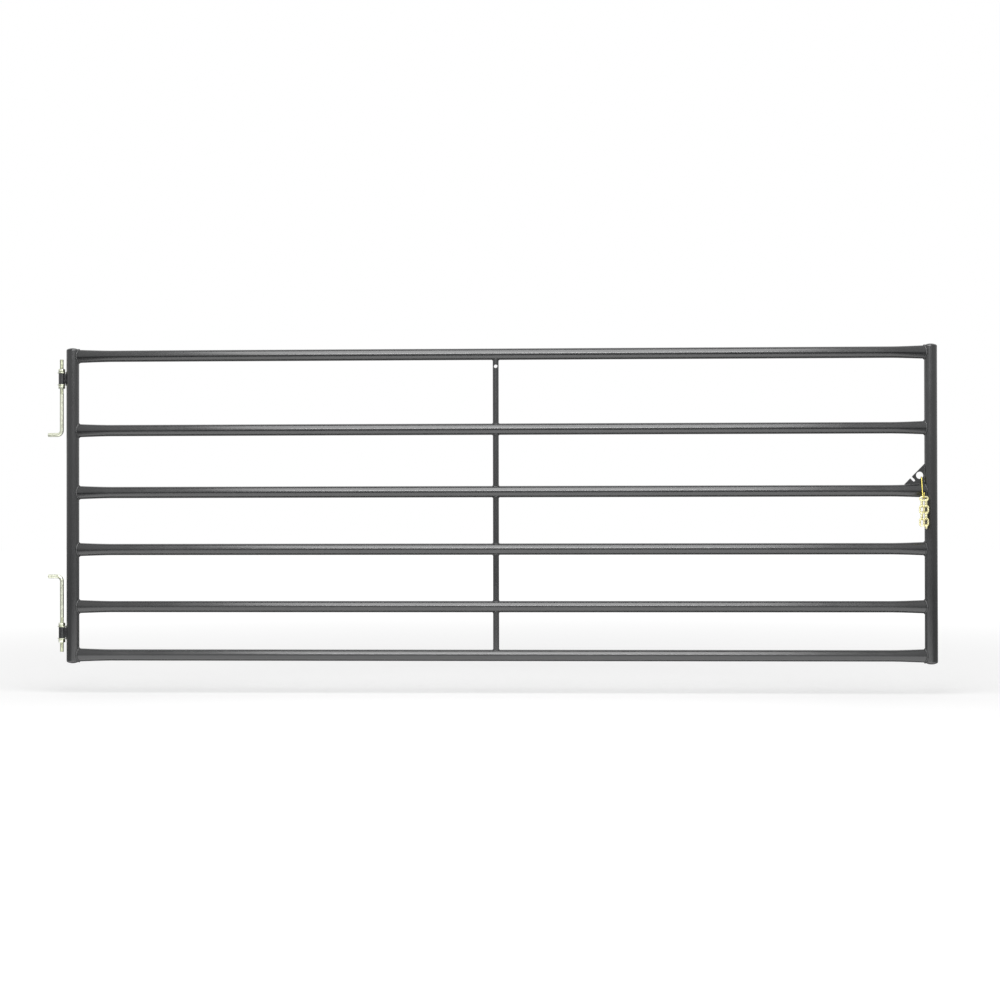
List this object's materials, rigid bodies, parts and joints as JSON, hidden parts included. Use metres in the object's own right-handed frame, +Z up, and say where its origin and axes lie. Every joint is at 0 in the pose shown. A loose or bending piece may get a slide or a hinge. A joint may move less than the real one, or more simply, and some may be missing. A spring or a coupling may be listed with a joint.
{
  "type": "tubular field gate",
  "caption": "Horizontal-rail tubular steel field gate with domed stiles, a centre brace, bent hook hinges in bored collars, a notched chain-catch plate and a hanging latch chain.",
  "frame": {"origin": "on the hinge axis, level with the bottom of the stiles", "axes": "+X along the gate from the hinge axis to the latch stile, +Y away from the front face, +Z up"},
  "size_m": [3.5551, 0.0927, 1.27],
  "materials": {
    "powder_coat": "dark grey semi-gloss powder coat",
    "zinc_plate": "bright zinc plated steel",
    "yellow_zinc": "yellow passivated zinc on steel"
  },
  "bodies": {
    "gate_frame": {"hinge_stile": "powder_coat", "latch_stile": "powder_coat", "hinge_stile_top_cap": "powder_coat", "hinge_stile_bottom_cap": "powder_coat", "latch_stile_top_cap": "powder_coat", "latch_stile_bottom_cap": "powder_coat", "rail_1": "powder_coat", "rail_2": "powder_coat", "rail_3": "powder_coat", "rail_4": "powder_coat", "rail_5": "powder_coat", "rail_6": "powder_coat", "brace_1": "powder_coat", "brace_2": "powder_coat", "brace_3": "powder_coat", "brace_4": "powder_coat", "brace_5": "powder_coat", "upper_hinge_collar": "powder_coat", "lower_hinge_collar": "powder_coat", "upper_hinge_web": "powder_coat", "lower_hinge_web": "powder_coat", "catch_plate": "powder_coat"},
    "upper_hook": {"upper_hook": "zinc_plate", "upper_hook_nut_a": "zinc_plate", "upper_hook_nut_b": "zinc_plate", "upper_hook_washer_a": "zinc_plate", "upper_hook_washer_b": "zinc_plate"},
    "lower_hook": {"lower_hook": "zinc_plate", "lower_hook_nut_a": "zinc_plate", "lower_hook_nut_b": "zinc_plate", "lower_hook_washer_a": "zinc_plate", "lower_hook_washer_b": "zinc_plate"},
    "chain_hanger": {"chain_hanger": "yellow_zinc"},
    "chain": {"chain_strand_front_left": "yellow_zinc", "chain_turn_front": "yellow_zinc", "chain_strand_front_right": "yellow_zinc", "chain_turn_bottom": "yellow_zinc", "chain_strand_back_right": "yellow_zinc", "chain_turn_back": "yellow_zinc", "chain_strand_back_left": "yellow_zinc"}
  },
  "joints": [
    {"name": "upper_hook_swivel", "type": "hinge", "parent": "gate_frame", "child": "upper_hook", "pos_m": [0, 0, 1.146], "axis": [0, 0, 1], "range_deg": [-120, 120]},
    {"name": "lower_hook_swivel", "type": "hinge", "parent": "gate_frame", "child": "lower_hook", "pos_m": [0, 0, 0.124], "axis": [0, 0, 1], "range_deg": [-120, 120]},
    {"name": "hanger_lift", "type": "hinge", "parent": "gate_frame", "child": "chain_hanger", "pos_m": [3.4368, 0, 0.73254], "axis": [-1, 0, 0], "range_deg": [0, 45]},
    {"name": "chain_swing", "type": "hinge", "parent": "chain_hanger", "child": "chain", "pos_m": [3.4368, -0.04688, 0.67278], "axis": [-1, 0, 0], "range_deg": [-4, 60]}
  ]
}
